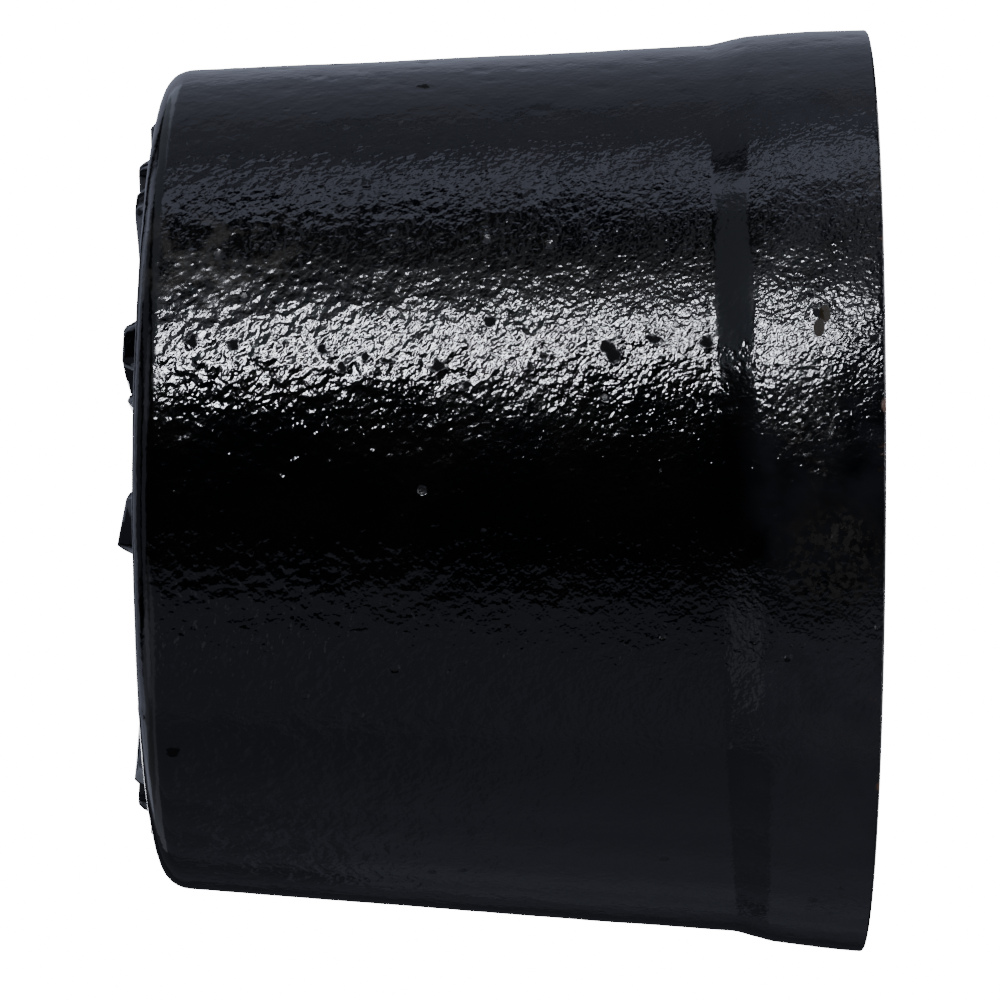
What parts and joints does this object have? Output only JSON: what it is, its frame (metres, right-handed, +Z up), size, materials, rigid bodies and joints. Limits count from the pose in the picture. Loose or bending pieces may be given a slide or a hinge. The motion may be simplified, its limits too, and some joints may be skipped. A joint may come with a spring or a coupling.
{
  "type": "pipe cap",
  "caption": "Threaded iron pipe cap: one black asphalt-coated casting with a thick closed head, a banded mouth, a tapped socket and blank raised pads on the head.",
  "frame": {"origin": "on the axis of the cap, in the plane of its mouth", "axes": "+X along the axis, out of the mouth towards the pipe; the closed head faces -X; +Z is up with the cap lying on its side"},
  "size_m": [0.0434, 0.056, 0.056],
  "materials": {
    "coated_iron": "sand-cast iron under a glossy black asphalt dip, with fine bumps and small pits; the thread and the mouth's face are machined and thinly coated, with specks of rust at the mouth's edge"
  },
  "bodies": {
    "root": {"cap_casting": "coated_iron"}
  },
  "joints": []
}
